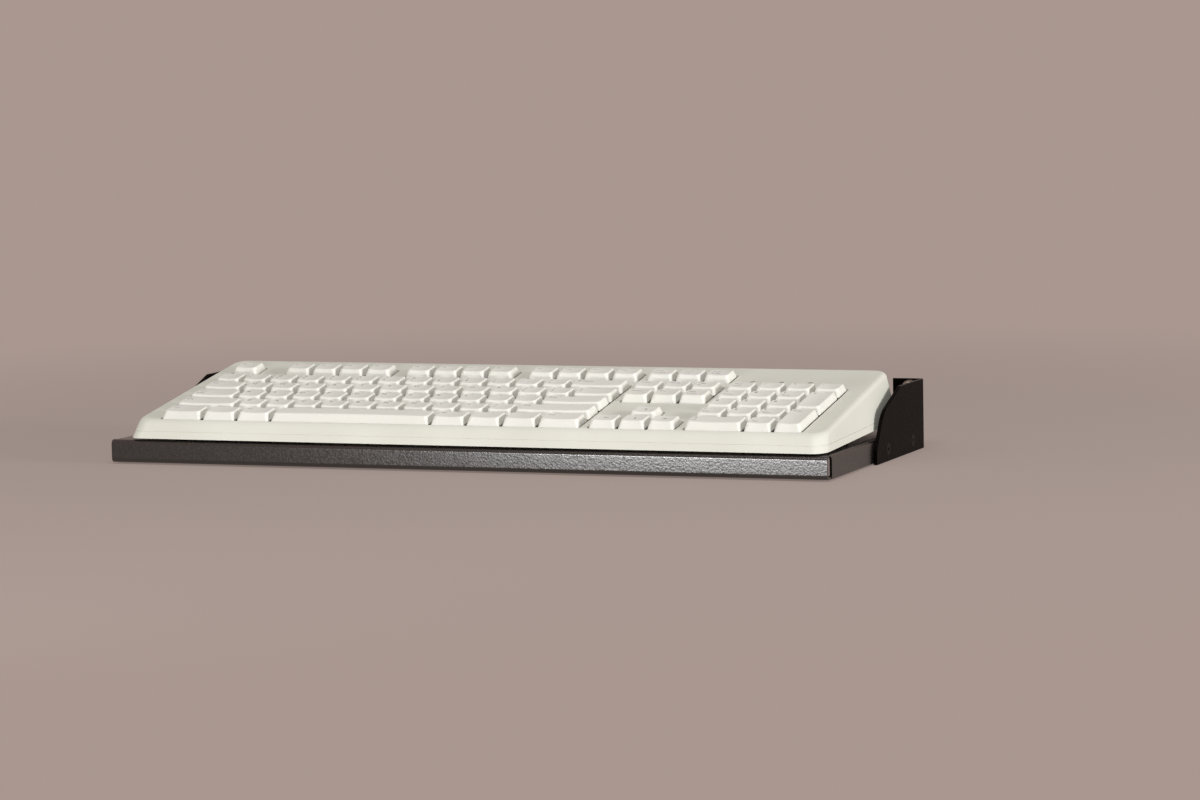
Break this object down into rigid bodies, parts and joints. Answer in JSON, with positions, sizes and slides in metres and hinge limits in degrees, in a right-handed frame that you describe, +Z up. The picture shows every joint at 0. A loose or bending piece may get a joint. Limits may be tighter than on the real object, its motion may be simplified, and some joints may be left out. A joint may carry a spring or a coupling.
{
  "type": "rack keyboard shelf",
  "caption": "19-inch one-unit rack shelf of folded sheet steel on two ear brackets, carrying a full-size computer keyboard on flip feet.",
  "frame": {"origin": "middle of the four rack screws, on the plane of the rack rails' front faces that the ears lie against", "axes": "+X to the right along the rack's width, +Y back into the rack, +Z up"},
  "size_m": [0.4826, 0.206, 0.0538],
  "materials": {
    "hammer_paint": "black hammer-finish enamel on sheet steel, glossy",
    "black_zinc": "black zinc-plated steel",
    "bright_zinc": "bright zinc-plated steel",
    "nickel_steel": "nickel-plated steel",
    "ivory_case": "fine-grained ivory ABS, slightly aged",
    "ivory_key": "smooth ivory ABS key caps",
    "deck_plastic": "plain moulded ABS",
    "dome_rubber": "moulded silicone rubber",
    "contact_film": "polyester film",
    "circuit_board": "green glass-epoxy board",
    "clear_lens": "clear moulded light pipes",
    "dark_rubber": "black moulded rubber"
  },
  "bodies": {
    "shelf": {"shelf_tray": "hammer_paint", "rear_bar": "hammer_paint", "left_bracket": "hammer_paint", "right_bracket": "hammer_paint", "arm_screws": "black_zinc", "arm_nuts": "bright_zinc", "rack_screws": "nickel_steel", "rack_washers": "nickel_steel"},
    "keyboard": {"top_case": "ivory_case", "bottom_case": "ivory_case", "guide_deck": "deck_plastic", "dome_mat": "dome_rubber", "contact_film": "contact_film", "controller_board": "circuit_board", "indicator_lenses": "clear_lens", "case_screws": "bright_zinc", "front_pads": "dark_rubber", "cord_grommet": "dark_rubber"},
    "left_foot": {"left_foot": "ivory_case"},
    "right_foot": {"right_foot": "ivory_case"},
    "escape_key": {"escape_key": "ivory_key"},
    "function_keys_1_to_4": {"function_keys_1_to_4": "ivory_key"},
    "function_keys_5_to_8": {"function_keys_5_to_8": "ivory_key"},
    "function_keys_9_to_12": {"function_keys_9_to_12": "ivory_key"},
    "print_scroll_pause_keys": {"print_scroll_pause_keys": "ivory_key"},
    "number_row_keys": {"number_row_keys": "ivory_key"},
    "backspace_key": {"backspace_key": "ivory_key"},
    "tab_key": {"tab_key": "ivory_key"},
    "upper_letter_keys": {"upper_letter_keys": "ivory_key"},
    "caps_lock_key": {"caps_lock_key": "ivory_key"},
    "home_letter_keys": {"home_letter_keys": "ivory_key"},
    "enter_key": {"enter_key": "ivory_key"},
    "left_shift_key": {"left_shift_key": "ivory_key"},
    "lower_letter_keys": {"lower_letter_keys": "ivory_key"},
    "right_shift_key": {"right_shift_key": "ivory_key"},
    "left_control_key": {"left_control_key": "ivory_key"},
    "left_system_key": {"left_system_key": "ivory_key"},
    "left_alt_key": {"left_alt_key": "ivory_key"},
    "space_bar": {"space_bar": "ivory_key"},
    "right_alt_key": {"right_alt_key": "ivory_key"},
    "right_system_key": {"right_system_key": "ivory_key"},
    "menu_key": {"menu_key": "ivory_key"},
    "right_control_key": {"right_control_key": "ivory_key"},
    "insert_home_page_up_keys": {"insert_home_page_up_keys": "ivory_key"},
    "delete_end_page_down_keys": {"delete_end_page_down_keys": "ivory_key"},
    "arrow_up_key": {"arrow_up_key": "ivory_key"},
    "arrow_left_key": {"arrow_left_key": "ivory_key"},
    "arrow_down_key": {"arrow_down_key": "ivory_key"},
    "arrow_right_key": {"arrow_right_key": "ivory_key"},
    "numpad_top_keys": {"numpad_top_keys": "ivory_key"},
    "numpad_7_8_9_keys": {"numpad_7_8_9_keys": "ivory_key"},
    "numpad_4_5_6_keys": {"numpad_4_5_6_keys": "ivory_key"},
    "numpad_1_2_3_keys": {"numpad_1_2_3_keys": "ivory_key"},
    "numpad_plus_key": {"numpad_plus_key": "ivory_key"},
    "numpad_enter_key": {"numpad_enter_key": "ivory_key"},
    "numpad_zero_key": {"numpad_zero_key": "ivory_key"},
    "numpad_point_key": {"numpad_point_key": "ivory_key"}
  },
  "joints": [
    {"name": "keyboard_lift", "type": "slide", "parent": "shelf", "child": "keyboard", "axis": [0, 0, 1], "range_m": [0, 0.12]},
    {"name": "left_foot_fold", "type": "hinge", "parent": "keyboard", "child": "left_foot", "pos_m": [-0.1805, -0.05368, 0.00201], "axis": [1, 0, 0], "range_deg": [-90, 0]},
    {"name": "right_foot_fold", "type": "hinge", "parent": "keyboard", "child": "right_foot", "pos_m": [0.1895, -0.05368, 0.00201], "axis": [1, 0, 0], "range_deg": [-90, 0]},
    {"name": "escape_key_press", "type": "slide", "parent": "keyboard", "child": "escape_key", "axis": [0, 0.1788, -0.9839], "range_m": [0, 0.003], "stiffness_N_per_m": 120, "springref_m": -0.002},
    {"name": "function_keys_1_to_4_press", "type": "slide", "parent": "keyboard", "child": "function_keys_1_to_4", "axis": [0, 0.1788, -0.9839], "range_m": [0, 0.003], "stiffness_N_per_m": 480, "springref_m": -0.002},
    {"name": "function_keys_5_to_8_press", "type": "slide", "parent": "keyboard", "child": "function_keys_5_to_8", "axis": [0, 0.1788, -0.9839], "range_m": [0, 0.003], "stiffness_N_per_m": 480, "springref_m": -0.002},
    {"name": "function_keys_9_to_12_press", "type": "slide", "parent": "keyboard", "child": "function_keys_9_to_12", "axis": [0, 0.1788, -0.9839], "range_m": [0, 0.003], "stiffness_N_per_m": 480, "springref_m": -0.002},
    {"name": "print_scroll_pause_keys_press", "type": "slide", "parent": "keyboard", "child": "print_scroll_pause_keys", "axis": [0, 0.1788, -0.9839], "range_m": [0, 0.003], "stiffness_N_per_m": 360, "springref_m": -0.002},
    {"name": "number_row_keys_press", "type": "slide", "parent": "keyboard", "child": "number_row_keys", "axis": [0, 0.1788, -0.9839], "range_m": [0, 0.003], "stiffness_N_per_m": 1560, "springref_m": -0.002},
    {"name": "backspace_key_press", "type": "slide", "parent": "keyboard", "child": "backspace_key", "axis": [0, 0.1788, -0.9839], "range_m": [0, 0.003], "stiffness_N_per_m": 120, "springref_m": -0.002},
    {"name": "tab_key_press", "type": "slide", "parent": "keyboard", "child": "tab_key", "axis": [0, 0.1788, -0.9839], "range_m": [0, 0.003], "stiffness_N_per_m": 120, "springref_m": -0.002},
    {"name": "upper_letter_keys_press", "type": "slide", "parent": "keyboard", "child": "upper_letter_keys", "axis": [0, 0.1788, -0.9839], "range_m": [0, 0.003], "stiffness_N_per_m": 1560, "springref_m": -0.002},
    {"name": "caps_lock_key_press", "type": "slide", "parent": "keyboard", "child": "caps_lock_key", "axis": [0, 0.1788, -0.9839], "range_m": [0, 0.003], "stiffness_N_per_m": 120, "springref_m": -0.002},
    {"name": "home_letter_keys_press", "type": "slide", "parent": "keyboard", "child": "home_letter_keys", "axis": [0, 0.1788, -0.9839], "range_m": [0, 0.003], "stiffness_N_per_m": 1320, "springref_m": -0.002},
    {"name": "enter_key_press", "type": "slide", "parent": "keyboard", "child": "enter_key", "axis": [0, 0.1788, -0.9839], "range_m": [0, 0.003], "stiffness_N_per_m": 120, "springref_m": -0.002},
    {"name": "left_shift_key_press", "type": "slide", "parent": "keyboard", "child": "left_shift_key", "axis": [0, 0.1788, -0.9839], "range_m": [0, 0.003], "stiffness_N_per_m": 120, "springref_m": -0.002},
    {"name": "lower_letter_keys_press", "type": "slide", "parent": "keyboard", "child": "lower_letter_keys", "axis": [0, 0.1788, -0.9839], "range_m": [0, 0.003], "stiffness_N_per_m": 1200, "springref_m": -0.002},
    {"name": "right_shift_key_press", "type": "slide", "parent": "keyboard", "child": "right_shift_key", "axis": [0, 0.1788, -0.9839], "range_m": [0, 0.003], "stiffness_N_per_m": 120, "springref_m": -0.002},
    {"name": "left_control_key_press", "type": "slide", "parent": "keyboard", "child": "left_control_key", "axis": [0, 0.1788, -0.9839], "range_m": [0, 0.003], "stiffness_N_per_m": 120, "springref_m": -0.002},
    {"name": "left_system_key_press", "type": "slide", "parent": "keyboard", "child": "left_system_key", "axis": [0, 0.1788, -0.9839], "range_m": [0, 0.003], "stiffness_N_per_m": 120, "springref_m": -0.002},
    {"name": "left_alt_key_press", "type": "slide", "parent": "keyboard", "child": "left_alt_key", "axis": [0, 0.1788, -0.9839], "range_m": [0, 0.003], "stiffness_N_per_m": 120, "springref_m": -0.002},
    {"name": "space_bar_press", "type": "slide", "parent": "keyboard", "child": "space_bar", "axis": [0, 0.1788, -0.9839], "range_m": [0, 0.003], "stiffness_N_per_m": 120, "springref_m": -0.002},
    {"name": "right_alt_key_press", "type": "slide", "parent": "keyboard", "child": "right_alt_key", "axis": [0, 0.1788, -0.9839], "range_m": [0, 0.003], "stiffness_N_per_m": 120, "springref_m": -0.002},
    {"name": "right_system_key_press", "type": "slide", "parent": "keyboard", "child": "right_system_key", "axis": [0, 0.1788, -0.9839], "range_m": [0, 0.003], "stiffness_N_per_m": 120, "springref_m": -0.002},
    {"name": "menu_key_press", "type": "slide", "parent": "keyboard", "child": "menu_key", "axis": [0, 0.1788, -0.9839], "range_m": [0, 0.003], "stiffness_N_per_m": 120, "springref_m": -0.002},
    {"name": "right_control_key_press", "type": "slide", "parent": "keyboard", "child": "right_control_key", "axis": [0, 0.1788, -0.9839], "range_m": [0, 0.003], "stiffness_N_per_m": 120, "springref_m": -0.002},
    {"name": "insert_home_page_up_keys_press", "type": "slide", "parent": "keyboard", "child": "insert_home_page_up_keys", "axis": [0, 0.1788, -0.9839], "range_m": [0, 0.003], "stiffness_N_per_m": 360, "springref_m": -0.002},
    {"name": "delete_end_page_down_keys_press", "type": "slide", "parent": "keyboard", "child": "delete_end_page_down_keys", "axis": [0, 0.1788, -0.9839], "range_m": [0, 0.003], "stiffness_N_per_m": 360, "springref_m": -0.002},
    {"name": "arrow_up_key_press", "type": "slide", "parent": "keyboard", "child": "arrow_up_key", "axis": [0, 0.1788, -0.9839], "range_m": [0, 0.003], "stiffness_N_per_m": 120, "springref_m": -0.002},
    {"name": "arrow_left_key_press", "type": "slide", "parent": "keyboard", "child": "arrow_left_key", "axis": [0, 0.1788, -0.9839], "range_m": [0, 0.003], "stiffness_N_per_m": 120, "springref_m": -0.002},
    {"name": "arrow_down_key_press", "type": "slide", "parent": "keyboard", "child": "arrow_down_key", "axis": [0, 0.1788, -0.9839], "range_m": [0, 0.003], "stiffness_N_per_m": 120, "springref_m": -0.002},
    {"name": "arrow_right_key_press", "type": "slide", "parent": "keyboard", "child": "arrow_right_key", "axis": [0, 0.1788, -0.9839], "range_m": [0, 0.003], "stiffness_N_per_m": 120, "springref_m": -0.002},
    {"name": "numpad_top_keys_press", "type": "slide", "parent": "keyboard", "child": "numpad_top_keys", "axis": [0, 0.1788, -0.9839], "range_m": [0, 0.003], "stiffness_N_per_m": 480, "springref_m": -0.002},
    {"name": "numpad_7_8_9_keys_press", "type": "slide", "parent": "keyboard", "child": "numpad_7_8_9_keys", "axis": [0, 0.1788, -0.9839], "range_m": [0, 0.003], "stiffness_N_per_m": 360, "springref_m": -0.002},
    {"name": "numpad_4_5_6_keys_press", "type": "slide", "parent": "keyboard", "child": "numpad_4_5_6_keys", "axis": [0, 0.1788, -0.9839], "range_m": [0, 0.003], "stiffness_N_per_m": 360, "springref_m": -0.002},
    {"name": "numpad_1_2_3_keys_press", "type": "slide", "parent": "keyboard", "child": "numpad_1_2_3_keys", "axis": [0, 0.1788, -0.9839], "range_m": [0, 0.003], "stiffness_N_per_m": 360, "springref_m": -0.002},
    {"name": "numpad_plus_key_press", "type": "slide", "parent": "keyboard", "child": "numpad_plus_key", "axis": [0, 0.1788, -0.9839], "range_m": [0, 0.003], "stiffness_N_per_m": 120, "springref_m": -0.002},
    {"name": "numpad_enter_key_press", "type": "slide", "parent": "keyboard", "child": "numpad_enter_key", "axis": [0, 0.1788, -0.9839], "range_m": [0, 0.003], "stiffness_N_per_m": 120, "springref_m": -0.002},
    {"name": "numpad_zero_key_press", "type": "slide", "parent": "keyboard", "child": "numpad_zero_key", "axis": [0, 0.1788, -0.9839], "range_m": [0, 0.003], "stiffness_N_per_m": 120, "springref_m": -0.002},
    {"name": "numpad_point_key_press", "type": "slide", "parent": "keyboard", "child": "numpad_point_key", "axis": [0, 0.1788, -0.9839], "range_m": [0, 0.003], "stiffness_N_per_m": 120, "springref_m": -0.002}
  ]
}
